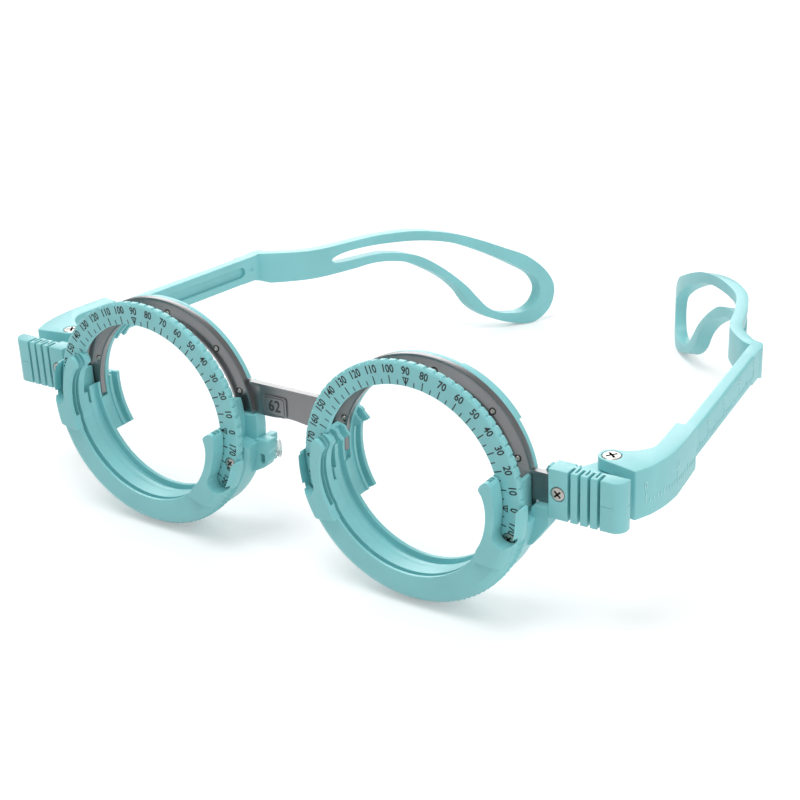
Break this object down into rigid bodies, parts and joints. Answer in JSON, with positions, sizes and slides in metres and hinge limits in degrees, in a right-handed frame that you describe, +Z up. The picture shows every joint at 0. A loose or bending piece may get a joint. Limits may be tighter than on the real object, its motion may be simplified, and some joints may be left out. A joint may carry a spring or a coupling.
{
  "type": "optical trial frame",
  "caption": "Light eye-test frame: round turning lens carriers over degree dials, fixed rear lens cells, grey bar, and folding side arms of adjustable length with loop ends.",
  "frame": {"origin": "Middle of the flat front face of the bridge strap, halfway between the two lens centres", "axes": "+X to the wearer's left, front towards -Y and arms back along +Y, +Z up"},
  "size_m": [0.1458, 0.1445, 0.0477],
  "materials": {
    "cyan_plastic": "satin moulded",
    "grey_metal": "satin grey",
    "bright_steel": "bright plated",
    "clear_silicone": "clear soft"
  },
  "bodies": {
    "frame": {"bar": "grey_metal", "body_left": "cyan_plastic", "body_right": "cyan_plastic", "dial_left": "cyan_plastic", "dial_right": "cyan_plastic", "dial_screw_left_temple": "bright_steel", "dial_screw_left_nose": "bright_steel", "dial_screw_right_temple": "bright_steel", "dial_screw_right_nose": "bright_steel", "bar_pin_left_1": "bright_steel", "bar_pin_left_2": "bright_steel", "bar_pin_left_3": "bright_steel", "bar_pin_left_4": "bright_steel", "bar_pin_right_1": "bright_steel", "bar_pin_right_2": "bright_steel", "bar_pin_right_3": "bright_steel", "bar_pin_right_4": "bright_steel", "hinge_block_left": "cyan_plastic", "hinge_block_right": "cyan_plastic", "block_screw_left": "bright_steel", "block_screw_right": "bright_steel"},
    "left_carrier": {"carrier_left": "cyan_plastic"},
    "right_carrier": {"carrier_right": "cyan_plastic"},
    "left_temple": {"sleeve_left": "cyan_plastic", "hinge_nut_left": "bright_steel", "hinge_screw_left": "bright_steel"},
    "right_temple": {"sleeve_right": "cyan_plastic", "hinge_nut_right": "bright_steel", "hinge_screw_right": "bright_steel"},
    "left_arm": {"arm_left": "cyan_plastic"},
    "right_arm": {"arm_right": "cyan_plastic"},
    "left_pad": {"nose_pad_left": "clear_silicone"},
    "right_pad": {"nose_pad_right": "clear_silicone"}
  },
  "joints": [
    {"name": "carrier_left_turn", "type": "hinge", "parent": "frame", "child": "left_carrier", "pos_m": [0.031, -0.0065, -0.0057], "axis": [0, 1, 0], "range_deg": [-90, 90]},
    {"name": "carrier_right_turn", "type": "hinge", "parent": "frame", "child": "right_carrier", "pos_m": [-0.031, -0.0065, -0.0057], "axis": [0, 1, 0], "range_deg": [-105, 75]},
    {"name": "temple_left_fold", "type": "hinge", "parent": "frame", "child": "left_temple", "pos_m": [0.0641, 0.0078, -0.0033], "axis": [0, 0, 1], "range_deg": [-10.6, 64.4]},
    {"name": "temple_right_fold", "type": "hinge", "parent": "frame", "child": "right_temple", "pos_m": [-0.0641, 0.0078, -0.0033], "axis": [0, 0, 1], "range_deg": [-61.7, 13.3]},
    {"name": "arm_left_slide", "type": "slide", "parent": "left_temple", "child": "left_arm", "axis": [-0.0976, 0.9952, 0], "range_m": [-0.004, 0.003]},
    {"name": "arm_right_slide", "type": "slide", "parent": "right_temple", "child": "right_arm", "axis": [0.1444, 0.9895, 0], "range_m": [-0.004, 0.003]},
    {"name": "nose_pad_left_rock", "type": "hinge", "parent": "frame", "child": "left_pad", "pos_m": [0.0079, 0.0041, -0.0116], "axis": [0, 0, 1], "range_deg": [-8, 8]},
    {"name": "nose_pad_right_rock", "type": "hinge", "parent": "frame", "child": "right_pad", "pos_m": [-0.0079, 0.0041, -0.0116], "axis": [0, 0, 1], "range_deg": [-8, 8]}
  ]
}
